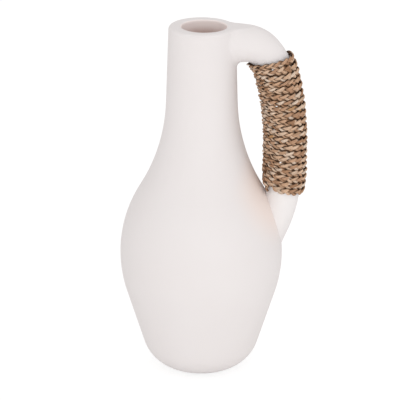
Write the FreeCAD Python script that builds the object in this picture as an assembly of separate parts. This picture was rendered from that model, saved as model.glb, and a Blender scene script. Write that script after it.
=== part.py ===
import FreeCAD, Part
import math
import os

# A tall one-handled oil-jug form in matte white ceramic.
# The origin is on the axis of the body, at the plane that the foot stands on.
# +Z is up and the handle is on the +X side. Lengths are in millimetres and angles in degrees.

# Vessel body, outside
height = 390.0             # standing plane to rim
belly_r = 89.0             # widest part of the belly
rim_r = 35.8               # neck at the level of the rim
foot_flat_r = 32.4         # outer edge of the ring that it stands on
foot_edge_round = 12.0     # soft edge from the foot into the heel
heel_round = 42.0
belly_round = 143.0
shoulder_round = 203.0
heel_angle = 17.6          # slope where the foot edge becomes the heel
flank_angle = 17.25        # lower flank, leaning out from upright
shoulder_angle = 30.8      # shoulder, leaning in from upright
neck_angle = 1.85          # neck, leaning in from upright

# Vessel body, inside and underneath
body_wall = 7.0
floor_thickness = 8.0
inner_heel_round = 30.0
inner_shoulder_round = 200.0
mouth_r = 24.4             # bore of the neck, straight down from the mouth
mouth_shift = 2.0          # how far the whole hollow lies from the axis, towards the handle
foot_recess_r = 25.0       # hollow inside the standing ring
foot_recess_depth = 2.5
foot_recess_slope = 2.0    # how far the side of that hollow leans

# Rim and the stub that carries the handle
rim_round = 3.5
lip_round = 2.0
arch_drop = 19.0           # from the rim down to the centre of the stub's end
stub_reach = 48.5          # from the axis of the body to the end of the stub
stub_end_r = 20.1          # the stub widens from here towards the neck
stub_angle = 6.0           # side of that cone to its axis, which tilts as much, so its underside lies level
stub_blend = 6.5           # concave blend of the stub into the neck
vent_r = 2.0               # bleed hole from the hollow handle into the neck

# Handle, a hollow tube
handle_r = 18.7
handle_wall = 6.0
crown_round = 29.4         # radius of the top bend's centre line
crown_angle = 50.0         # slope at the end of that bend
upper_round = 59.0
upper_angle = 25.0
grip_round = 300.0
grip_angle = 15.0
grip_straight = 33.0
root_round = 160.0         # bend that leads the handle into the belly
root_angle = 23.0
root_run = 60.0            # straight run into the belly, of which only the first part shows

# Plaited cord wound on the handle, and the glue under it
cord_d = 5.8
cord_sides = 8
cord_seat = 0.35           # space between handle and cord, which the glue fills
cord_pitch = 7.4
cord_clearance = 3.0       # from where the handle's inner side meets the body up to the cord's lower end
cord_top = 29.35           # along the handle's centre line from the stub to the cord's upper end
cord_start_angle = 120.0   # where round the handle the lower end lies, from outwards to the back
low_turn_angle = -8.0      # slope of the lowest turn, from the vessel outwards
high_turn_angle = 21.0     # slope of the highest turn
rise_power = 2.2           # how late along the winding the slope grows
crotch_lift = 5.9          # how far the lowest turns ride up between handle and shoulder
crotch_turns = 9.0         # turns over which that lift dies away
glue_thickness = 0.3
glue_width = 5.0
glue_margin = 9.0          # distance of the glue from each end of the winding

# How far cutting tools run past what they cut, and how level an edge at the rim is
overrun = 18.0
level_slack = 0.01
halvings = 60              # steps in which a crossing of two outlines is closed in on

# Shares of a turn that the winding is drawn and measured in
span_share = 0.25
probe_share = 0.02
tangent_share = 0.0005

vector = FreeCAD.Vector
y_axis = vector(0, 1, 0)
x_axis = vector(1, 0, 0)
z_axis = vector(0, 0, 1)


def sine(angle):
    return math.sin(math.radians(angle))


def cosine(angle):
    return math.cos(math.radians(angle))


def heading_vector(heading):
    """A unit vector in the XZ plane, so many degrees above +X."""
    return vector(cosine(heading), 0, sine(heading))


class Route:
    """An outline or a centre line in the XZ plane, made of straights and tangent arcs."""

    def __init__(self, x, z, heading):
        self.end = vector(x, 0, z)
        self.heading = heading
        self.stretches = []

    def forward(self, length):
        """A straight run on, of this length."""
        self.add(length, 0)

    def turn(self, radius, angle):
        """An arc that turns left by this angle, or right if the angle is negative."""
        self.add(radius * math.radians(abs(angle)), math.copysign(radius, angle))

    def add(self, length, radius):
        stretch = (self.end, self.heading, length, radius)
        self.stretches.append(stretch)
        self.end, self.heading = self.walk(stretch, length)

    def walk(self, stretch, distance):
        """Place and heading, this far along one stretch."""
        start, heading, length, radius = stretch
        if radius == 0:
            return start + heading_vector(heading) * distance, heading
        turned = heading + math.degrees(distance / radius)
        left, left_later = heading_vector(heading + 90), heading_vector(turned + 90)
        return start + (left - left_later) * radius, turned

    def at(self, distance):
        """Place and heading, this far along the whole route."""
        for stretch in self.stretches:
            if distance <= stretch[2]:
                return self.walk(stretch, distance)
            distance -= stretch[2]
        return self.walk(stretch, stretch[2] + distance)

    def length(self):
        return sum(stretch[2] for stretch in self.stretches)

    def between(self, near, far):
        """The run of this route between two distances along it."""
        place, heading = self.at(near)
        run = Route(place.x, place.z, heading)
        for stretch in self.stretches:
            length, radius = stretch[2:]
            shared = min(far, length) - max(near, 0)
            if shared > 0:
                run.add(shared, radius)
            near -= length
            far -= length
        return run

    def edges(self):
        made = []
        for stretch in self.stretches:
            start = stretch[0]
            length, radius = stretch[2:]
            end = self.walk(stretch, length)[0]
            if radius == 0:
                made.append(Part.makeLine(start, end))
            else:
                middle = self.walk(stretch, length / 2)[0]
                made.append(Part.Arc(start, middle, end).toShape())
        return made


def turned_solid(route):
    """The solid that an outline makes when it is turned once round the upright axis."""
    first = route.stretches[0][0]
    last = route.end
    top_centre = vector(0, 0, last.z)
    bottom_centre = vector(0, 0, first.z)
    closing = [Part.makeLine(last, top_centre), Part.makeLine(top_centre, bottom_centre)]
    if first.x > 0:
        closing.append(Part.makeLine(bottom_centre, first))
    outline = Part.Wire(route.edges() + closing)
    return Part.Face(outline).revolve(vector(0, 0, 0), z_axis, 360)


def body_outline():
    """Outside of the body, from the foot up to just past the rim."""
    route = Route(foot_flat_r, 0, 0)
    route.turn(foot_edge_round, heel_angle)
    route.turn(heel_round, 90 - flank_angle - heel_angle)
    belly_gain = belly_r - belly_round * (1 - cosine(flank_angle)) - route.end.x
    route.forward(belly_gain / sine(flank_angle))
    route.turn(belly_round, flank_angle + shoulder_angle)
    # The shoulder's straight part is as long as brings the neck to its radius at the rim.
    neck_slope = math.tan(math.radians(neck_angle))
    arc_in = shoulder_round * (cosine(neck_angle) - cosine(shoulder_angle))
    arc_up = shoulder_round * (sine(shoulder_angle) - sine(neck_angle))
    neck_gain = (height - route.end.z - arc_up) * neck_slope
    spare = route.end.x - arc_in - rim_r - neck_gain
    route.forward(spare / (sine(shoulder_angle) - cosine(shoulder_angle) * neck_slope))
    route.turn(shoulder_round, neck_angle - shoulder_angle)
    route.forward((height + overrun - route.end.z) / cosine(neck_angle))
    return route


def belly_centre():
    """Centre of the belly's arc, which the wall's inside shares."""
    start, heading = body_line.stretches[3][:2]
    return start + heading_vector(heading + 90) * belly_round


def cavity_outline():
    """Inside of the body, from the floor's centre up to just past the rim."""
    centre = belly_centre()
    floor_level = foot_recess_depth + floor_thickness
    belly_inside = belly_round - body_wall
    belly_low = centre + heading_vector(-flank_angle) * belly_inside
    heel_top = floor_level + inner_heel_round * (1 - sine(flank_angle))
    flank = (belly_low.z - heel_top) / cosine(flank_angle)
    floor_r = belly_low.x - flank * sine(flank_angle) - inner_heel_round * cosine(flank_angle)
    route = Route(0, floor_level, 0)
    route.forward(floor_r)
    route.turn(inner_heel_round, 90 - flank_angle)
    route.forward(flank)
    route.turn(belly_inside, flank_angle + shoulder_angle)
    arc_in = inner_shoulder_round * (1 - cosine(shoulder_angle))
    route.forward((route.end.x - mouth_r - arc_in) / sine(shoulder_angle))
    route.turn(inner_shoulder_round, -shoulder_angle)
    route.forward(height + overrun - route.end.z)
    return route


def handle_route():
    """Centre line of the handle, from the end of the stub down into the belly."""
    route = Route(stub_reach, height - arch_drop, -stub_angle)
    route.turn(crown_round, stub_angle - crown_angle)
    route.turn(upper_round, -upper_angle)
    route.turn(grip_round, -grip_angle)
    route.forward(grip_straight)
    route.turn(root_round, -root_angle)
    route.forward(root_run)
    return route


def last_true(near, far, holds):
    """The distance up to which a test holds, between two distances."""
    for i in range(halvings):
        middle = (near + far) / 2
        if holds(middle):
            near = middle
        else:
            far = middle
    return near


def body_radius(level):
    """Outside radius of the body at this level."""
    distance = last_true(0, body_line.length(), lambda reached: body_line.at(reached)[0].z < level)
    return body_line.at(distance)[0].x


def clear_of_body(distance):
    """True while the handle's inner side is still outside the body, this far along."""
    place, heading = handle_line.at(distance)
    side = place + heading_vector(heading - 90) * handle_r
    return side.x > body_radius(side.z)


def ring_on(route, distance, radius):
    """A circle square to a centre line, this far along it."""
    place, heading = route.at(distance)
    return Part.Wire([Part.makeCircle(radius, place, heading_vector(heading))])


def bar_along(route, rings):
    """A solid round bar along a centre line, through these rings."""
    return Part.Wire(route.edges()).makePipeShell(rings, True, False)


def handle_bar(depth):
    """The handle as a solid bar, this far inside its surface. Its crown narrows from the stub."""
    crown_end = handle_line.stretches[0][2]
    crown = handle_line.between(0, crown_end)
    rest = handle_line.between(crown_end, handle_line.length())
    wide = ring_on(crown, 0, stub_end_r - depth)
    narrow = ring_on(rest, 0, handle_r - depth)
    return bar_along(crown, [wide, narrow]).fuse(bar_along(rest, [narrow])).removeSplitter()


def edges_near(shape, wanted):
    """The edges of a shape whose middle meets a test."""
    found = []
    for edge in shape.Edges:
        middle = edge.valueAt((edge.FirstParameter + edge.LastParameter) / 2)
        if wanted(middle, edge):
            found.append(edge)
    return found


def stub_seam(middle, edge):
    """True on the line where the stub meets the neck."""
    high = edge.BoundBox.ZMin > height - arch_drop - handle_r - stub_blend
    curved = edge.Curve.TypeId == "Part::GeomBSplineCurve"
    return high and curved and middle.x > 0 and abs(middle.y) > 0


def at_rim(middle, edge):
    """True on the edges in the plane of the rim, but not on the flat end of the stub."""
    box = edge.BoundBox
    level = abs(box.ZMin - height) < level_slack and abs(box.ZMax - height) < level_slack
    return level and box.XLength > level_slack


def over_rim():
    """The space above the plane of the rim, which the ware is trimmed to."""
    return Part.makeCylinder(belly_r, overrun + overrun, vector(0, 0, height), z_axis)


def make_vessel_body(outside):
    """The cast body: shell, neck, blended stub for the handle, foot ring and rim."""
    stub_end = vector(stub_reach, 0, height - arch_drop)
    inwards = heading_vector(180 - stub_angle)
    stub_length = stub_reach / cosine(stub_angle)
    stub_root_r = stub_end_r + stub_length * math.tan(math.radians(stub_angle))
    stub = Part.makeCone(stub_end_r, stub_root_r, stub_length, stub_end, inwards)
    joined = outside.fuse(stub).removeSplitter()
    blended = joined.makeFillet(stub_blend, edges_near(joined, stub_seam))
    level = blended.cut(over_rim())
    rounded = level.makeFillet(rim_round, edges_near(level, at_rim))
    cavity = turned_solid(cavity_outline()).translated(x_axis * mouth_shift)
    hollow = rounded.cut(cavity)
    lip = hollow.makeFillet(lip_round, edges_near(hollow, at_rim_mouth))
    recess_top_r = foot_recess_r - foot_recess_slope
    recess = Part.makeCone(foot_recess_r, recess_top_r, foot_recess_depth, vector(0, 0, 0), z_axis)
    vent = Part.makeCylinder(vent_r, stub_length, stub_end, inwards)
    return lip.cut(recess).cut(vent)


def at_rim_mouth(middle, edge):
    """True on the inner edge of the rim."""
    from_centre = math.hypot(middle.x - mouth_shift, middle.y)
    return at_rim(middle, edge) and from_centre < mouth_r + level_slack


def make_handle(outside):
    """The hollow handle, from its flat end on the stub to its shaped end on the belly."""
    return handle_bar(0).cut(handle_bar(handle_wall)).cut(outside).cut(over_rim())


def cord_centre(turns_up):
    """Centre of the wound cord, so many turns up from its lower end."""
    lowest = max(0, 1 - turns_up / crotch_turns)
    swing = cord_start_angle - 360 * turns_up
    lift = crotch_lift * lowest * ((1 - cosine(swing)) / 2) ** 3
    place, heading = handle_line.at(cord_start - cord_pitch * turns_up - lift)
    done = max(0, turns_up / cord_turns)
    rise = low_turn_angle + (high_turn_angle - low_turn_angle) * done ** rise_power
    outwards = heading_vector(rise)
    radius = handle_r + cord_seat + cord_d / 2
    across = outwards * (radius * cosine(swing) / cosine(heading + 90 - rise))
    return place + across + y_axis * (radius * sine(swing))


def cord_direction(turns_up):
    ahead = cord_centre(turns_up + tangent_share)
    behind = cord_centre(turns_up - tangent_share)
    return (ahead - behind).normalize()


def arc_from(start, direction, end):
    """The arc that leaves start in this direction and reaches end."""
    chord = end - start
    inward = (chord - direction * chord.dot(direction)).normalize()
    radius = chord.dot(chord) / (2 * chord.dot(inward))
    centre = start + inward * radius
    middle = centre + ((start - centre) + (end - centre)).normalize() * radius
    return Part.Arc(start, middle, end).toShape()


def biarc(start, start_direction, end, end_direction):
    """Two arcs from start to end that meet smoothly and follow both directions."""
    chord = end - start
    both = start_direction + end_direction
    square = 2 * (1 - start_direction.dot(end_direction))
    slope = 2 * chord.dot(both)
    reach = (math.sqrt(slope * slope + 4 * square * chord.dot(chord)) - slope) / (2 * square)
    joint = (start + start_direction * reach + end - end_direction * reach) * 0.5
    first = arc_from(start, start_direction, joint)
    second = arc_from(end, end_direction * -1, joint)
    return [first, second]


def make_cord_wrap():
    """The cord as one unbroken wound tube, with a short straight run at each end."""
    spans = round(cord_turns / span_share)
    steps = [cord_turns * i / spans for i in range(spans + 1)]
    places = [cord_centre(step) for step in steps]
    directions = [cord_direction(step) for step in steps]
    tail_low = places[0] - directions[0] * cord_d
    tail_high = places[-1] + directions[-1] * cord_d
    edges = [Part.makeLine(tail_low, places[0])]
    for i in range(spans):
        edges += biarc(places[i], directions[i], places[i + 1], directions[i + 1])
    edges.append(Part.makeLine(places[-1], tail_high))
    across = directions[0].cross(y_axis).normalize()
    up = directions[0].cross(across)
    corners = []
    for i in range(cord_sides + 1):
        angle = 360 * i / cord_sides
        corners.append(tail_low + (across * cosine(angle) + up * sine(angle)) * (cord_d / 2))
    section = Part.makePolygon(corners)
    return Part.Wire(edges).makePipeShell([section], True, False)


def cord_gap():
    """The least free space between one turn of the cord and the next."""
    count = int(cord_turns / probe_share)
    places = [cord_centre(i * probe_share) for i in range(count + 1)]
    turn = round(1 / probe_share)
    least = None
    for i in range(count - turn):
        for j in range(i + turn - turn // 5, min(i + turn + turn // 5, count + 1)):
            apart = (places[j] - places[i]).Length
            if least is None or apart < least:
                least = apart
    return least - cord_d


def make_glue_bead():
    """The thin line of glue down the front of the handle, under the cord."""
    top = cord_start - cord_pitch * cord_turns + glue_margin
    line = handle_line.between(top, cord_start - glue_margin)
    place, way = line.stretches[0][:2]
    sideways = heading_vector(way + 90)
    half = math.degrees(glue_width / handle_r) / 2
    inner = [place + round_handle(sideways, swing, handle_r) for swing in (-half, 0, half)]
    outer_r = handle_r + glue_thickness
    outer = [place + round_handle(sideways, swing, outer_r) for swing in (-half, 0, half)]
    section = Part.Wire([
        Part.Arc(*inner).toShape(),
        Part.makeLine(inner[-1], outer[-1]),
        Part.Arc(*reversed(outer)).toShape(),
        Part.makeLine(outer[0], inner[0]),
    ])
    return Part.Wire(line.edges()).makePipeShell([section], True, False)


def round_handle(sideways, swing, radius):
    """From the handle's centre to a place round it, swung from the front."""
    return sideways * (radius * sine(swing)) - y_axis * (radius * cosine(swing))


body_line = body_outline()
handle_line = handle_route()
cord_start = last_true(0, handle_line.length(), clear_of_body) - cord_clearance
cord_turns = (cord_start - cord_top) / cord_pitch
outer_form = turned_solid(body_line)
parts = {
    "vessel_body": make_vessel_body(outer_form),
    "handle": make_handle(outer_form),
    "cord_wrap": make_cord_wrap(),
    "glue_bead": make_glue_bead(),
}

os.makedirs("parts", exist_ok=True)
for name, shape in parts.items():
    shape.exportStep(os.path.join("parts", name + ".step"))
    box = shape.optimalBoundingBox(True, False)
    size = "%.1f x %.1f x %.1f" % (box.XLength, box.YLength, box.ZLength)
    print(name, "valid", shape.isValid(), "solids", len(shape.Solids), size,
          "volume %.0f" % shape.Volume)
print("cord turns %.3f, from %.1f mm along the handle" % (cord_turns, cord_start))
print("least gap between the cord's turns %.2f" % cord_gap())
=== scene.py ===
# %% [markdown]
# A matte white ceramic jug vase with a plaited sea-grass winding on its handle.
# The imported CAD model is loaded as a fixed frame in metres. The vessel and the handle keep
# their CAD shapes and get a ceramic finish, because a cast vase has plain round forms, which
# CAD draws best. The winding and its glue are modelled here, because hand-plaited grass is
# uneven all along. They take the place of the CAD cord and of the CAD line of glue.

import math

import bpy
import numpy as np
from mathutils import Matrix, Vector


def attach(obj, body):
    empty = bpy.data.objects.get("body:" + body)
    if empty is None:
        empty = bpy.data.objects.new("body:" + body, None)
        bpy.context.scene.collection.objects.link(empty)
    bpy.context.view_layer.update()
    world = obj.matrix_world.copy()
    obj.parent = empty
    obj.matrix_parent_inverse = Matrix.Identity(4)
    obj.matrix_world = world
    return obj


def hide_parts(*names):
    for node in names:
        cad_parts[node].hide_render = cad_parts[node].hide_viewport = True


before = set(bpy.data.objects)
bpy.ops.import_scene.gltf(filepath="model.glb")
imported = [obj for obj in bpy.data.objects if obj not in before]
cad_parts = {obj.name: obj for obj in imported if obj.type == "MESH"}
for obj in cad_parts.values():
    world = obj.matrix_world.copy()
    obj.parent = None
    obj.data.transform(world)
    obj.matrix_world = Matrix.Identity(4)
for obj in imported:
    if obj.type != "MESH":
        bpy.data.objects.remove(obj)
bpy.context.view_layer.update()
print("CAD nodes:", sorted(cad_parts))

# %% [markdown]
# The photograph is a studio shot through a long lens, and looks down on the mouth. A camera
# could be aimed with a Track To constraint. Here its place and angles are written down,
# because they were fitted to the ellipses of the rim and the foot. It stands 2.2 m in front of
# the vase, about a metre above its foot, and its lens follows from how many pixels a millimetre
# takes there. It is a hair off the axis of the body and rolled a hair, because the vase
# doesn't stand quite upright in the picture.

# %% Camera
camera_distance = 2.2
camera_height = 1.0269
camera_sideways = -0.0015
look_down = 20.775              # degrees below level
camera_roll = 0.25              # degrees
focal_pixels = 2152.1           # focal length, in pixels of the photograph
photo_pixels = 400
sensor_width = 36.0             # millimetres
camera_sight = 50.0             # how far it sees

camera_data = bpy.data.cameras.new("camera")
camera_data.sensor_width = sensor_width
camera_data.lens = focal_pixels / photo_pixels * sensor_width
camera_data.clip_end = camera_sight
camera = bpy.data.objects.new("camera", camera_data)
camera.location = (camera_sideways, -camera_distance, camera_height)
pitch = Matrix.Rotation(math.radians(90 - look_down), 3, "X")
roll = Matrix.Rotation(math.radians(camera_roll), 3, "Z")
camera.rotation_euler = (pitch @ roll).to_euler()
bpy.context.scene.collection.objects.link(camera)
bpy.context.scene.camera = camera
print("lens %.1f mm" % camera_data.lens)

# %% [markdown]
# The handle is a round tube that arches out from the neck and comes down to the shoulder. The
# winding follows its centre line, a chain of straights and tangent arcs in the plane of
# symmetry. That line could be measured on the handle's mesh, but the few numbers that the CAD
# handle was drawn with are exact, so they are repeated here, in metres. `Route` walks along
# such a chain, and gives the place and the heading at any distance.

# %% A route of straights and arcs
def heading_vector(heading):
    """A unit vector in the plane of symmetry, so many degrees above +X."""
    return Vector((math.cos(math.radians(heading)), 0, math.sin(math.radians(heading))))


class Route:
    """A centre line of straights and tangent arcs that turn to the right."""

    def __init__(self, start, heading):
        self.end, self.heading, self.stretches = start, heading, []

    def add(self, length, radius):
        """Carry the line on by a length. A radius of 0 is a straight."""
        stretch = (self.end, self.heading, length, radius)
        self.stretches.append(stretch)
        self.end, self.heading = self.walk(stretch, length)

    def walk(self, stretch, distance):
        """Place and heading at a distance along one stretch."""
        start, heading, length, radius = stretch
        if not radius:
            return start + heading_vector(heading) * distance, heading
        turned = heading - math.degrees(distance / radius)
        chord = heading_vector(turned + 90) - heading_vector(heading + 90)
        return start + chord * radius, turned

    def at(self, distance):
        """Place and heading at a distance along the whole line."""
        for stretch in self.stretches:
            length = stretch[2]
            if distance <= length:
                break
            distance -= length
        else:
            distance += length
        return self.walk(stretch, distance)


print("a heading of 90 points to", [round(c, 3) for c in heading_vector(90)])

# %% The handle's centre line
handle_start = Vector((0.0485, 0, 0.371))
first_heading = -6.0            # degrees above level
handle_bends = (                # radius of each bend, and its turn in degrees
    (0.0294, 44),
    (0.059, 25),
    (0.300, 15),
)
grip_straight = 0.033
root_radius, root_turn = 0.160, 23
handle_radius = 0.0187

handle_line = Route(handle_start, first_heading)
for radius, turn in handle_bends:
    handle_line.add(radius * math.radians(turn), radius)
handle_line.add(grip_straight, 0)
handle_line.add(root_radius * math.radians(root_turn), root_radius)
print("handle centre line ends at", [round(c, 4) for c in handle_line.end])

# %% [markdown]
# In the studio, broad soft light reached the vase from all round. A picture of a studio could
# light the scene, but a plain world and a few lamps need no file, and each can be weighed on
# its own. The bright world does most of the work, as a light tent would. A large soft box
# stands low in front, so the sides fall off a little and the foot stays bright, with weaker
# ones above the camera, left and overhead. Together they give about the light at which a
# colour renders as it is written, below clipping.

# %% Light
lamps = (                       # name, place, size in metres and strength in watts
    ("key_box", (0.9, -2.2, 2.0), 1.6, 4.0),
    ("left_box", (-2.2, -0.9, 1.2), 1.4, 2.0),
    ("top_box", (0.1, 0.3, 2.6), 1.8, 2.0),
    ("low_box", (0.4, -2.2, 0.3), 1.2, 11.0),
)
lamp_aim = Vector((0, 0, 0.2))
sky_colour = (1.0, 0.985, 0.975, 1)
sky_strength = 0.83

for name, place, size, power in lamps:
    lamp_data = bpy.data.lights.new(name, "AREA")
    lamp_data.shape = "SQUARE"
    lamp_data.size = size
    lamp_data.energy = power
    lamp = bpy.data.objects.new(name, lamp_data)
    lamp.location = place
    lamp.rotation_euler = (lamp_aim - Vector(place)).to_track_quat("-Z", "Y").to_euler()
    bpy.context.scene.collection.objects.link(lamp)

world = bpy.data.worlds.new("studio")
bpy.context.scene.world = world
world.use_nodes = True
sky = world.node_tree.nodes["Background"]
sky.inputs["Color"].default_value = sky_colour
sky.inputs["Strength"].default_value = sky_strength
bpy.context.scene.view_settings.view_transform = "Standard"
print("lamps:", len(lamps))

# %% [markdown]
# The background is white, with a soft shadow at the foot. Enough light to burn a real sheet
# out to white would also glare on the vase. So the floor is a wide pale sheet of two shaders.
# The vase gets only the light that the pale one returns. The Light Path node mixes a plain
# white over it for the rays that come from the camera, from a shine, or through something
# clear. A share of the lit floor stays in that mix, and keeps the shadow.

# %% Floor
floor_size = 14.0
floor_colour = (0.97, 0.965, 0.96, 1)
floor_roughness = 0.9
shadow_share = 0.30             # how much of the lit floor the camera sees
backdrop_glow = 1.13            # strength of the plain white


def new_material(name):
    """A material with its nodes, its links and its Principled shader."""
    material = bpy.data.materials.new(name)
    material.use_nodes = True
    nodes = material.node_tree.nodes
    return material, nodes, material.node_tree.links, nodes["Principled BSDF"]


def math_node(nodes, operation, kind="ShaderNodeMath"):
    """A node that does one sum."""
    node = nodes.new(kind)
    node.operation = operation
    return node


bpy.ops.object.select_all(action="DESELECT")
bpy.ops.mesh.primitive_plane_add(size=floor_size, location=(0, 0, 0))
floor = bpy.context.object
floor.name = "floor"
floor_material, nodes, links, surface = new_material("floor_white")
surface.inputs["Base Color"].default_value = floor_colour
surface.inputs["Roughness"].default_value = floor_roughness
glow = nodes.new("ShaderNodeEmission")
glow.inputs["Strength"].default_value = backdrop_glow
path = nodes.new("ShaderNodeLightPath")
mirrored = math_node(nodes, "ADD")
in_sight = math_node(nodes, "ADD")
in_sight.use_clamp = True
seen = math_node(nodes, "MULTIPLY")
seen.inputs[1].default_value = 1 - shadow_share
blend = nodes.new("ShaderNodeMixShader")
links.new(path.outputs["Is Glossy Ray"], mirrored.inputs[0])
links.new(path.outputs["Is Transmission Ray"], mirrored.inputs[1])
links.new(path.outputs["Is Camera Ray"], in_sight.inputs[0])
links.new(mirrored.outputs[0], in_sight.inputs[1])
links.new(in_sight.outputs[0], seen.inputs[0])
links.new(seen.outputs[0], blend.inputs["Fac"])
links.new(surface.outputs["BSDF"], blend.inputs[1])
links.new(glow.outputs["Emission"], blend.inputs[2])
links.new(blend.outputs["Shader"], nodes["Material Output"].inputs["Surface"])
floor.data.materials.append(floor_material)
print("floor %.0f m wide" % floor_size)

# %% [markdown]
# The vessel and the handle are one matte ceramic, slightly warm in tone. Two places carry
# painted light and shade. Down inside the mouth the colour is a paler band at the lip, a
# painted light, and below it a warm brown, a painted shade. In the fork between shoulder and
# handle the clay is painted a shade warmer and lighter, a painted light for what the sea grass
# throws back. Such tones could be painted on the mesh. Here masks work them out from the place
# of each point, because that holds for any mesh and needs no painting. Object coordinates are
# the same for both pieces, since every piece's object sits at the origin.

# %% Masks for the painted light and shade in the mouth and the painted light in the fork
bore_middle = 0.002             # the bore's axis lies this far from the body's
bore_edge = (0.0258, 0.0246)    # distances from that axis where the painted lip light and mouth shade start and are full
bore_shade_heights = (0.3850, 0.365)     # heights between which the painted shade deepens
# centre of the painted light in the fork, a warmer and lighter patch for light thrown back by
# the sea grass
fork_light_place = (0.066, -0.010, 0.200)
fork_light_reach = (0.062, 0.020)     # distances from there where the painted light starts and is full


def range_node(nodes, taken, given=(0, 1), interpolation="LINEAR"):
    """A node that turns one range of values into another."""
    span = nodes.new("ShaderNodeMapRange")
    span.inputs["From Min"].default_value, span.inputs["From Max"].default_value = taken
    span.inputs["To Min"].default_value, span.inputs["To Max"].default_value = given
    span.interpolation_type = interpolation
    return span


def mouth_light_and_shade_mask(nodes, links, place):
    """Where the mouth's painted light and shade go: whether a place lies inside the mouth, and
    how deep, both from 0 to 1.
    """
    centre = math_node(nodes, "SUBTRACT", "ShaderNodeVectorMath")
    centre.inputs[1].default_value = (bore_middle, 0, 0)
    flat = math_node(nodes, "MULTIPLY", "ShaderNodeVectorMath")
    flat.inputs[1].default_value = (1, 1, 0)
    reach = math_node(nodes, "LENGTH", "ShaderNodeVectorMath")
    parts = nodes.new("ShaderNodeSeparateXYZ")
    inside = range_node(nodes, bore_edge, interpolation="SMOOTHSTEP")
    down = range_node(nodes, bore_shade_heights, interpolation="SMOOTHSTEP")
    links.new(place, centre.inputs[0])
    links.new(centre.outputs["Vector"], flat.inputs[0])
    links.new(flat.outputs["Vector"], reach.inputs[0])
    links.new(place, parts.inputs["Vector"])
    links.new(reach.outputs["Value"], inside.inputs["Value"])
    links.new(parts.outputs["Z"], down.inputs["Value"])
    return inside.outputs["Result"], down.outputs["Result"]


def fork_light_mask(nodes, links, place):
    """Where the painted light in the fork goes: how near a place lies to the fork between
    shoulder and handle, from 0 to 1.
    """
    apart = math_node(nodes, "DISTANCE", "ShaderNodeVectorMath")
    apart.inputs[1].default_value = fork_light_place
    near = range_node(nodes, fork_light_reach, interpolation="SMOOTHSTEP")
    links.new(place, apart.inputs[0])
    links.new(apart.outputs["Value"], near.inputs["Value"])
    return near.outputs["Result"]


print("the mouth's tone deepens over %.0f mm" % (1000 * (bore_shade_heights[0] - bore_shade_heights[1])))

# %% [markdown]
# Bisque-like ware has a very fine sandy tooth, and faint cloudy changes of tone. The vessel
# and the handle could each have textures of their own, but then the grain would change where
# they meet. So one node group makes the clay for both, with one noise for the clouds and one
# for the tooth. It puts out a colour, a roughness and a height, and the material that uses it
# says what they do.

# %% The clay's node group
cloud_detail, tooth_detail = 3, 2
clay_roughness = (0.62, 0.74)           # the range that the clouds give
colour_1, colour_2, mixed = 6, 7, 2     # a colour Mix node's two colours, and its result


def colour_mix(nodes, blend_type="MIX"):
    """A node that mixes two colours."""
    mix = nodes.new("ShaderNodeMix")
    mix.data_type = "RGBA"
    mix.blend_type = blend_type
    return mix


def build_clay_group():
    """Colour, roughness and height of the clay, from its tones and the scales of its grain."""
    group = bpy.data.node_groups.new("clay_surface", "ShaderNodeTree")
    for socket in ("Light", "Warm", "Lip Light", "Mouth Shade", "Fork Light"):
        group.interface.new_socket(socket, in_out="INPUT", socket_type="NodeSocketColor")
    for socket in ("Cloud Scale", "Tooth Scale"):
        group.interface.new_socket(socket, in_out="INPUT", socket_type="NodeSocketFloat")
    group.interface.new_socket("Color", in_out="OUTPUT", socket_type="NodeSocketColor")
    for socket in ("Roughness", "Height"):
        group.interface.new_socket(socket, in_out="OUTPUT", socket_type="NodeSocketFloat")
    nodes, links = group.nodes, group.links
    given = nodes.new("NodeGroupInput")
    result = nodes.new("NodeGroupOutput")
    place = nodes.new("ShaderNodeTexCoord").outputs["Object"]

    cloud = nodes.new("ShaderNodeTexNoise")
    cloud.inputs["Detail"].default_value = cloud_detail
    tooth = nodes.new("ShaderNodeTexNoise")
    tooth.inputs["Detail"].default_value = tooth_detail
    for texture, scale in ((cloud, "Cloud Scale"), (tooth, "Tooth Scale")):
        links.new(place, texture.inputs["Vector"])
        links.new(given.outputs[scale], texture.inputs["Scale"])
    rough = range_node(nodes, (0, 1), clay_roughness)
    links.new(cloud.outputs["Fac"], rough.inputs["Value"])
    links.new(rough.outputs["Result"], result.inputs["Roughness"])
    links.new(tooth.outputs["Fac"], result.inputs["Height"])

    inside, down = mouth_light_and_shade_mask(nodes, links, place)
    near_fork_light = fork_light_mask(nodes, links, place)
    clouded, fork_lit, bore, whole = [colour_mix(nodes) for _ in range(4)]
    # the fork mix adds a painted light; the bore mixes add the painted lip light and the
    # painted shade in the mouth
    for mix, share, first, second in (
            (clouded, cloud.outputs["Fac"], given.outputs["Light"], given.outputs["Warm"]),
            (fork_lit, near_fork_light, clouded.outputs[mixed], given.outputs["Fork Light"]),
            (bore, down, given.outputs["Lip Light"], given.outputs["Mouth Shade"]),
            (whole, inside, fork_lit.outputs[mixed], bore.outputs[mixed])):
        links.new(share, mix.inputs["Factor"])
        links.new(first, mix.inputs[colour_1])
        links.new(second, mix.inputs[colour_2])
    links.new(whole.outputs[mixed], result.inputs["Color"])
    return group


clay_group = build_clay_group()
print("clay group:", len(clay_group.nodes), "nodes")

# %% [markdown]
# The finish itself is one Principled shader for each piece. The tooth could be real geometry,
# but its grains are far finer than any mesh could carry, so a Bump node turns the group's
# height into a little relief. The two materials differ only in the painted light of the fork.

# %% Ceramic on the vessel and the handle
clay_light = (0.815, 0.785, 0.785, 1)
clay_warm = (0.79, 0.752, 0.748, 1)
clay_lip_light = (0.97, 0.89, 0.87, 1)        # painted light on the bore at the lip
clay_mouth_shade = (0.51, 0.275, 0.195, 1)     # painted shade down inside the mouth
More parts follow.
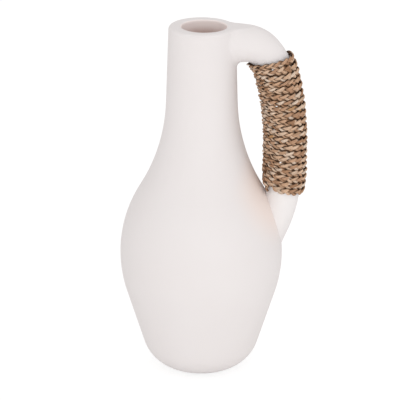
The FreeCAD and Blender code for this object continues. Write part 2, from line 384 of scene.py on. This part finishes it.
# painted light in the fork: warmer and lighter than the clay, for light thrown back by the sea
# grass
clay_fork_light = {
    "vessel_body": (0.870, 0.765, 0.720, 1),
    "handle": (0.855, 0.832, 0.826, 1),
}
cloud_scale, tooth_scale = 14.0, 1500.0
clay_shine = 0.3
tooth_strength, tooth_relief = 0.12, 0.0002


def add_relief(nodes, links, height, surface, strength, distance):
    """Small relief on a surface, from a height."""
    bump = nodes.new("ShaderNodeBump")
    bump.inputs["Strength"].default_value = strength
    bump.inputs["Distance"].default_value = distance
    links.new(height, bump.inputs["Height"])
    links.new(bump.outputs["Normal"], surface.inputs["Normal"])


def build_ceramic(node):
    """The ceramic finish of one CAD node."""
    material, nodes, links, surface = new_material("ceramic_" + node)
    clay = nodes.new("ShaderNodeGroup")
    clay.node_tree = clay_group
    clay.inputs["Light"].default_value = clay_light
    clay.inputs["Warm"].default_value = clay_warm
    clay.inputs["Lip Light"].default_value = clay_lip_light
    clay.inputs["Mouth Shade"].default_value = clay_mouth_shade
    clay.inputs["Fork Light"].default_value = clay_fork_light[node]
    clay.inputs["Cloud Scale"].default_value = cloud_scale
    clay.inputs["Tooth Scale"].default_value = tooth_scale
    links.new(clay.outputs["Color"], surface.inputs["Base Color"])
    links.new(clay.outputs["Roughness"], surface.inputs["Roughness"])
    add_relief(nodes, links, clay.outputs["Height"], surface, tooth_strength, tooth_relief)
    surface.inputs["Specular IOR Level"].default_value = clay_shine
    return material


for node in ("vessel_body", "handle"):
    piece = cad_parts[node]
    ceramic = build_ceramic(node)
    piece.data.materials.clear()
    piece.data.materials.append(ceramic)
print("ceramic on vessel_body and handle")

# %% [markdown]
# The winding is one plait of three flat sea-grass strands, wound left-handed up the handle. A
# Screw modifier winds evenly, but these rows aren't alike. Each turn lies in a tilted plane:
# the low turns tip down outwards, and the top ones tip up where the handle bends over. In the
# fork between handle and shoulder the lowest turns ride up, because the shoulder is in their
# way, and the plait's cut end swings out there. So a function gives the plait's path at any
# number of turns.

# %% The path of the winding
turns_up = 21.35                # from the tail end to the hidden upper end
tail_turns = 0.26               # how far the tail reaches below the first full turn
start_distance = 0.1807         # along the handle where the first full turn starts
start_swing = 120.0             # degrees round the handle from outwards towards the back
row_pitch = 0.00716
low_tilt, high_tilt = -8.0, 16.0
tilt_power = 3.0                # how late the tilt sets in
fork_lift = 0.0100              # how far the tail rides up in the fork
fork_turns = 10.5               # turns over which that fades
fork_narrowness = 6
tail_flare = 0.0080             # how far the path swings out at the cut end
flare_turns = 0.15
plait_depth = 0.00275           # from the clay to the middle of the plait


def winding_point(turn, depth):
    """Centre of the winding at a number of turns up, at a depth outside the clay."""
    swing = math.radians(start_swing - 360 * turn)
    fading = max(0.0, 1 - (turn + tail_turns / 2) / fork_turns)
    near_end = max(0.0, 1 - (turn + tail_turns) / flare_turns)
    depth += tail_flare * near_end ** 2
    lift = fork_lift * fading * ((1 - math.cos(swing)) / 2) ** fork_narrowness
    place, heading = handle_line.at(start_distance - row_pitch * turn - lift)
    share = min(max(turn / (turns_up - tail_turns), 0), 1)
    tilt = low_tilt + (high_tilt - low_tilt) * share ** tilt_power
    reach = (handle_radius + depth) / math.cos(math.radians(heading + 90 - tilt))
    round_it = heading_vector(tilt) * (reach * math.cos(swing))
    return place + round_it + Vector((0, (handle_radius + depth) * math.sin(swing), 0))


print("the first full turn starts at", [round(c, 4) for c in winding_point(0, plait_depth)])

# %% [markdown]
# The plait is built from rings, one every millimetre. They could be set out by equal parts of
# a turn, but a turn is longer where the handle bends, and the grass would look stretched
# there. So the path is followed in fine steps to measure how long it is, and the rings are
# set out evenly along it.

# %% Rings along the winding
points_per_turn = 160
ring_spacing = 0.0010


def read_off(at, known_at, known):
    """Points on a line of known points, at given distances or turns along it."""
    return np.stack([np.interp(at, known_at, known[:, k]) for k in range(3)], 1)


fine_turn = 1 / points_per_turn
point_count = int(turns_up / fine_turn) + 1
point_turn = np.arange(point_count) * fine_turn - tail_turns
points = np.array([np.array(winding_point(turn, plait_depth)) for turn in point_turn])
gaps = np.linalg.norm(np.diff(points, axis=0), axis=1)
walked = np.concatenate([[0], np.cumsum(gaps)])
plait_length = walked[-1]
ring_count = int(plait_length / ring_spacing)
ring_at = np.linspace(0, plait_length, ring_count)
ring_turn = np.interp(ring_at, walked, point_turn)
centres = read_off(ring_at, walked, points)
print("plait length %.3f m in %d rings" % (plait_length, ring_count))

# %% [markdown]
# Every ring needs three directions: along the plait, out from the clay, and across the plait
# towards the row below. A Curve object finds its own, but they may roll where a path bends in
# space. Here out is taken from the nearest point of the handle's centre line, so the flat of
# the plait keeps to the clay. Each ring is then set to one height above the clay, along its
# own direction. At the cut end that direction leans, because the path swings out, so the end
# still stands off a little more than the rest.

# %% Directions along the winding
sampled_length = 0.235          # of the handle's centre line
sample_step = 0.0006


def one_long(vectors):
    """Vectors made one unit long."""
    return vectors / np.linalg.norm(vectors, axis=1)[:, None]


def squared_to(vectors, directions):
    """Vectors without their part along other directions, made one unit long."""
    return one_long(vectors - directions * (vectors * directions).sum(1)[:, None])


def off_the_clay():
    """How far the middle of each ring lies from the handle's surface."""
    return np.linalg.norm(centres - nearest, axis=1) - handle_radius


handle_samples = np.array([handle_line.at(i * sample_step)[0]
                           for i in range(int(sampled_length / sample_step))])
nearest = np.array([handle_samples[np.argmin(((handle_samples - centre) ** 2).sum(1))]
                    for centre in centres])
along = one_long(np.gradient(centres, axis=0))
clay_outward = squared_to(centres - nearest, along)
radius_error = off_the_clay() - plait_depth
centres -= clay_outward * radius_error[:, None]
clay_across = np.cross(clay_outward, along)
clay_contact = centres - clay_outward * plait_depth
print("the cut end stands %.1f mm further off" % (1000 * (off_the_clay()[0] - plait_depth)))

# %% [markdown]
# Rows of flat plait that are pushed together by hand don't lie flat. Each leans, with its
# upper edge out over the row above, and each strays sideways a little. Chance alone at every
# ring would make the plait jagged, so a few random values far apart are joined by a smooth
# wave, and the wave moves the rings.

# %% Lean and straying of the rows
plait_lean = 26.0               # degrees
wander_amount = 0.00034         # how far rows stray sideways
wander_spacing = 0.023
wander_seed = 11
spare_knots = 4                 # random values past the end, so that the wave never runs out


def smooth_noise(rng, spacing, amount):
    """A smooth random wave with a new value at every spacing, for each ring."""
    knots = rng.normal(0, amount, int(plait_length / spacing) + spare_knots)
    where = ring_at / spacing
    low = where.astype(int)
    part = where - low
    part = part * part * (3 - 2 * part)
    return knots[low] * (1 - part) + knots[low + 1] * part


lean = math.radians(plait_lean)
across = clay_across * math.cos(lean) - clay_outward * math.sin(lean)
outward = clay_outward * math.cos(lean) + clay_across * math.sin(lean)
wander = smooth_noise(np.random.default_rng(wander_seed), wander_spacing, wander_amount)
centres += clay_across * wander[:, None]
print("rows stray up to %.1f mm" % (1000 * abs(wander).max()))

# %% [markdown]
# Where the handle bends, the rows crowd on its inside, and the grass gives way. The plait
# could keep one width, but then its rows would run into each other there. So it is squeezed to
# the room that it has between the row below and the row above.

# %% Room between the rows
squeeze_limits = (0.6, 1.12)


def row_room():
    """How far each ring lies from the row above or below it."""
    above = read_off(ring_turn + 1, ring_turn, centres)
    below = read_off(ring_turn - 1, ring_turn, centres)
    up = np.linalg.norm(above - centres, axis=1)
    down = np.linalg.norm(centres - below, axis=1)
    up[ring_turn > ring_turn[-1] - 1] = row_pitch
    down[ring_turn < ring_turn[0] + 1] = row_pitch
    return np.minimum(up, down)


room = row_room()
squeeze = np.clip(room / row_pitch, *squeeze_limits)
print("room between rows %.1f to %.1f mm" % (room.min() * 1000, room.max() * 1000))

# %% [markdown]
# A flat plait of three strands is a simple wave: each strand swings from edge to edge, a third
# of a wave behind the next, and dips under its neighbour twice a wave. A relief in a material
# could draw the crossings, but the rows would keep a smooth outline. So each strand gets a
# path of its own from that wave. Smooth noise shifts the crossings, their heights and how far
# they swing, as hand work does.

# %% The wave of a strand
strand_count = 3
wave_length = 0.0245            # along the cord, for one strand to come back to its place
swing_width = 0.00290           # how far a strand swings to each side
swing_sharpness = 0.09          # how straight its slanting runs are
dip_depth = 0.00120             # how far it rises and dips
phase_noise = (0.019, 0.26)     # spacing and amount of each unevenness
lateral_noise = (0.011, 0.15)
height_noise = (0.012, 0.00016)


def strand_path(rng, index):
    """A strand's place in its wave at each ring, its middle, and its height in the plait."""
    phase = math.tau * (ring_at / wave_length + index / strand_count)
    phase += smooth_noise(rng, *phase_noise)
    sway = np.sin(phase) - swing_sharpness * np.sin(3 * phase)
    lateral = swing_width * squeeze * (sway + smooth_noise(rng, *lateral_noise))
    height = -dip_depth * np.sin(2 * phase) + smooth_noise(rng, *height_noise)
    return phase, centres + across * lateral[:, None] + outward * height[:, None], height


def crossing_tint(rng, phase):
    """One random tint for each visible lobe of a strand. It changes where the strand dips."""
    lobe = np.floor(phase / math.pi + 0.5).astype(int)
    lobe -= lobe.min()
    return rng.random(lobe.max() + 2)[lobe]


print("waves along the plait: %.0f" % (plait_length / wave_length))

# %% [markdown]
# Each strand is a twisted bundle of a few flat blades. Every blade could be a mesh of its own,
# but the ridges between them are finer than a pixel, so a section with soft ridges that turn
# slowly along the strand does as well. The strand is wider where it lies on top, and leans
# over at the plait's edges. Every corner of the section keeps how deep it lies in the plait,
# and how far it faces in under the strand, for the painted shade in the material.

# %% The section of a strand
strand_width = 0.0030
strand_thickness = 0.0022
lobe_fullness = 0.50            # how much wider a strand is where it lies on top
edge_roll = 20.0                # degrees that a strand leans over at the plait's edges
section_sides = 14
ridge_count = 3
ridge_depth = 0.10              # share of the section
ridge_twist = 0.034             # along the strand for one turn of its blades
crest_share = 0.62              # of the depth attribute, painted shade on the strands' undersides; the rest follows rise and dip
strand_seed = 40
roll_noise = (0.009, 0.12)
width_noise = (0.008, 0.09)
thickness_noise = (0.010, 0.10)


def build_strand(index):
    """Rings of corners for one strand, with a tint and a depth for each corner."""
    rng = np.random.default_rng(strand_seed + index)
    phase, middle, height = strand_path(rng, index)
    forward = one_long(np.gradient(middle, axis=0))
    side = squared_to(across, forward)
    out = np.cross(forward, side)
    roll = -np.radians(edge_roll) * np.sin(phase) + smooth_noise(rng, *roll_noise)
    side_rolled = side * np.cos(roll)[:, None] + out * np.sin(roll)[:, None]
    out_rolled = out * np.cos(roll)[:, None] - side * np.sin(roll)[:, None]
    on_top = (1 - np.sin(2 * phase)) / 2
    fullness = 1 + lobe_fullness * (on_top - 0.5) + smooth_noise(rng, *width_noise)
    width = strand_width / 2 * squeeze * fullness
    thick = strand_thickness / 2 * (1 + smooth_noise(rng, *thickness_noise))
    tint = crossing_tint(rng, phase)
    corners, depths = [], []
    for corner in range(section_sides):
        angle = math.tau * corner / section_sides
        ridge = 1 + ridge_depth * np.cos(ridge_count * angle + math.tau * ring_at / ridge_twist)
        x = width * math.cos(angle) * ridge
        y = thick * math.sin(angle) * ridge
        corners.append(middle + side_rolled * x[:, None] + out_rolled * y[:, None])
        crest = y / (strand_thickness / 2)
        depths.append(crest_share * crest + (1 - crest_share) * height / dip_depth)
    return np.stack(corners, 1), np.stack([tint] * section_sides, 1), np.stack(depths, 1)


print("a strand is about %.1f x %.1f mm" % (strand_width * 1000, strand_thickness * 1000))

# %% [markdown]
# Between the rows, loose blades lie on the clay. They are hidden but for a glimpse in the
# gaps, which lie in shade, where lit white clay would show. Single blades couldn't be told
# apart there, so one flat tube stands for them, and for the shade in the gaps: it is dark with
# painted shade. It follows the winding, half a row lower.

# %% The blades between the rows
back_width, back_thickness = 0.0050, 0.0010
back_height = 0.0008            # from the clay to their middle
back_sides = 8
back_shade_depth = 0.10               # their depth attribute, dark with painted shade


def build_back():
    """Rings of corners for the blades between each row and the row below, a dark sheet of
    painted shade.
    """
    middle = clay_contact + clay_outward * back_height + clay_across * room[:, None] / 2
    half_width = back_width / 2 * squeeze
    half_thick = back_thickness / 2
    corners = []
    for corner in range(back_sides):
        angle = math.tau * corner / back_sides
        sideways = clay_across * (half_width * math.cos(angle))[:, None]
        corners.append(middle + sideways + clay_outward * (half_thick * math.sin(angle)))
    shape = np.stack(corners, 1)[ring_turn > ring_turn[0] + 1]
    return shape, np.zeros(shape.shape[:2]), np.full(shape.shape[:2], back_shade_depth)


print("the blades between the rows are %.1f mm wide" % (back_width * 1000))

# %% [markdown]
# Rings of corners become a closed tube. A Curve with a bevel makes tubes too, but with one
# section all along. Plain faces between neighbouring rings take any section, and each corner
# can keep its tint and its depth as attributes for the material. The tube also gets its own
# UV map, along the strand and round it.

# %% From rings to meshes
uv_per_metre = 100


def tube_mesh(name, rings, tints, depths):
    """A closed tube through rings of corners, with tint and depth attributes and a UV map."""
    count, sides = rings.shape[:2]
    index = np.arange(count * sides).reshape(count, sides)
    faces = []
    for side in range(sides):
        after = (side + 1) % sides
        faces.append(np.stack([index[:-1, side], index[1:, side],
                               index[1:, after], index[:-1, after]], 1))
    faces = np.concatenate(faces).tolist()
    faces.append(index[0].tolist())
    faces.append(index[-1][::-1].tolist())
    mesh = bpy.data.meshes.new(name)
    mesh.from_pydata(rings.reshape(-1, 3).tolist(), [], faces)
    for label, values in (("tint", tints), ("depth", depths)):
        attribute = mesh.attributes.new(label, "FLOAT", "POINT")
        attribute.data.foreach_set("value", values.reshape(-1).astype(np.float32))
    corner_vertex = np.zeros(len(mesh.loops), np.int32)
    mesh.loops.foreach_get("vertex_index", corner_vertex)
    ring, side = corner_vertex // sides, corner_vertex % sides
    uv = mesh.uv_layers.new(name="strand")
    flat = np.stack([ring_at[ring] * uv_per_metre, side / sides], 1)
    uv.data.foreach_set("uv", flat.reshape(-1).astype(np.float32))
    mesh.polygons.foreach_set("use_smooth", [True] * len(mesh.polygons))
    tube = bpy.data.objects.new(name, mesh)
    bpy.context.scene.collection.objects.link(tube)
    return tube


strands = [tube_mesh("plait_strand_%d" % (index + 1), *build_strand(index))
           for index in range(strand_count)]
strands.append(tube_mesh("plait_back_and_shade", *build_back()))
print("strands:", [len(s.data.polygons) for s in strands])

# %% [markdown]
# Fine streaks run along every blade of grass. Stripes on Object coordinates would all point
# one way, across the strands as often as along them. So the streaks are a noise on the
# strand's own UV map, squeezed round the strand, and they follow it round the handle.

# %% Streaks along a strand
streak_stretch = (1.0, 22.0, 1.0)
streak_scale, streak_detail = 1.0, 4
streak_taken = (0.3, 0.7)       # the noise between which streaks go from dark to light
streak_given = (0.52, 1.36)     # how they darken and lighten the colour


def add_streaks(nodes, links):
    """A noise along the strand, and the tone that it gives."""
    uv = nodes.new("ShaderNodeUVMap")
    uv.uv_map = "strand"
    stretch = nodes.new("ShaderNodeMapping")
    stretch.inputs["Scale"].default_value = streak_stretch
    streak = nodes.new("ShaderNodeTexNoise")
    streak.inputs["Scale"].default_value = streak_scale
    streak.inputs["Detail"].default_value = streak_detail
    tone = range_node(nodes, streak_taken, streak_given)
    links.new(uv.outputs["UV"], stretch.inputs["Vector"])
    links.new(stretch.outputs["Vector"], streak.inputs["Vector"])
    links.new(streak.outputs["Fac"], tone.inputs["Value"])
    return streak.outputs["Fac"], tone.outputs["Result"]


print("streaks darken to %.2f and lighten to %.2f" % streak_given)

# %% [markdown]
# Dry sea grass is tan, with straw and orange-brown blades in it. A material for each colour
# would need faces sorted by hand. One material with a colour ramp reads the tint attribute
# instead, and picks a colour for each lobe. The parts that lie deep in the plait, and the
# undersides of the strands, are darkened towards a near-black brown: this is mostly painted
# shade, with a little dust, and the depth attribute says where.

# %% Sea-grass finish
grass_colours = (               # place on the ramp and colour
    (0.00, (0.340, 0.185, 0.102)),
    (0.22, (0.475, 0.282, 0.174)),
    (0.45, (0.600, 0.390, 0.254)),
    (0.70, (0.670, 0.485, 0.350)),
    (0.98, (0.730, 0.595, 0.480)),
    (0.99, (0.450, 0.250, 0.115)),
)
# painted shade: the near-black brown of the gaps and of the strands' undersides
gap_shade_colour = (0.075, 0.038, 0.020, 1)
shade_depths = (-0.20, 0.55)      # the depth attribute where the painted shade is full and is gone
streak_strength, streak_relief = 0.5, 0.0004
grass_roughness = 0.72
grass_shine = 0.18


def build_grass():
    """Dry sea grass for the strands, from their tint, depth and UV map."""
    material, nodes, links, surface = new_material("dry_sea_grass")
    tint = nodes.new("ShaderNodeAttribute")
    tint.attribute_name = "tint"
    depth = nodes.new("ShaderNodeAttribute")
    depth.attribute_name = "depth"
    ramp = nodes.new("ShaderNodeValToRGB")
    stops = ramp.color_ramp.elements
    for i, (position, colour) in enumerate(grass_colours):
        stop = stops[i] if i < len(stops) else stops.new(position)
        stop.position = position
        stop.color = (*colour, 1)
    links.new(tint.outputs["Fac"], ramp.inputs["Fac"])

    streak, streak_tone = add_streaks(nodes, links)
    streaked = colour_mix(nodes, "MULTIPLY")
    streaked.inputs["Factor"].default_value = 1.0
    links.new(ramp.outputs["Color"], streaked.inputs[colour_1])
    links.new(streak_tone, streaked.inputs[colour_2])

    # painted shade, from the depth attribute
    shade = range_node(nodes, shade_depths)
    deep = colour_mix(nodes)
    deep.inputs[colour_1].default_value = gap_shade_colour
    links.new(depth.outputs["Fac"], shade.inputs["Value"])
    links.new(shade.outputs["Result"], deep.inputs["Factor"])
    links.new(streaked.outputs[mixed], deep.inputs[colour_2])
    links.new(deep.outputs[mixed], surface.inputs["Base Color"])
    add_relief(nodes, links, streak, surface, streak_strength, streak_relief)
    surface.inputs["Roughness"].default_value = grass_roughness
    surface.inputs["Specular IOR Level"].default_value = grass_shine
    return material


grass = build_grass()
for strand in strands:
    strand.data.materials.append(grass)
    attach(strand, "root")
    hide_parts("cord_wrap")
print("sea grass on", len(strands), "strands")

# %% [markdown]
# Clear glue holds the winding. It shows as small beads in a line down the front, in the
# gaps between the rows. They could be scattered over the winding, but only six show, so each
# has its place. One bead is shaped, a flattened ball, and copied for the others. The glue
# could be real clear matter; here it is a glossy coat over a pale bluish colour, a painted
# glint, which at this size looks the same.

# %% Glue beads
glue_turns = (19.59, 16.61, 13.63, 11.63, 9.67, 4.62)   # each bead lies half a row above
glue_size = (0.0011, 0.0009, 0.0006)
glue_spread = (0.7, 1.3)        # how much the beads differ in size
glue_rise = 0.0010              # above the middle of the plait
glue_fineness = 2               # how finely the balls are divided
glue_seed = 7


def build_bead():
    """One flattened bead, at the origin."""
    bpy.ops.object.select_all(action="DESELECT")
    bpy.ops.mesh.primitive_ico_sphere_add(subdivisions=glue_fineness, radius=1, calc_uvs=False)
    bpy.ops.object.mode_set(mode="EDIT")
    bpy.ops.mesh.select_all(action="SELECT")
    bpy.ops.transform.resize(value=glue_size, center_override=(0, 0, 0))
    bpy.ops.object.mode_set(mode="OBJECT")
    bpy.ops.object.shade_smooth()
    return bpy.context.object


def build_glue():
    """Beads midway between two rows, joined into one piece."""
    rng = np.random.default_rng(glue_seed)
    depth = plait_depth + glue_rise
    glue = build_bead()
    beads = [glue]
    for _ in glue_turns[1:]:
        bead = glue.copy()
        bead.data = glue.data.copy()
        bpy.context.scene.collection.objects.link(bead)
        bead.select_set(True)
        beads.append(bead)
    for bead, turn in zip(beads, glue_turns):
        bead.location = (winding_point(turn, depth) + winding_point(turn + 1, depth)) / 2
        bead.scale = [rng.uniform(*glue_spread)] * 3
    bpy.ops.object.transform_apply(location=True, rotation=True, scale=True)
    bpy.ops.object.join()
    glue.name = glue.data.name = "glue_beads"
    return glue


glue = build_glue()
print("glue beads:", len(glue_turns))

# %% Glue finish
# painted glint: the shine of clear glue, given as a pale bluish colour
glue_glint_colour = (0.80, 0.83, 0.86, 1)
glue_roughness = 0.12
glue_coat = 0.6

glue_material, nodes, links, surface = new_material("clear_glue")
surface.inputs["Base Color"].default_value = glue_glint_colour
surface.inputs["Roughness"].default_value = glue_roughness
surface.inputs["Coat Weight"].default_value = glue_coat
glue.data.materials.append(glue_material)
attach(glue, "root")
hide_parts("glue_bead")
print("glue finish on", len(glue.data.polygons), "faces")
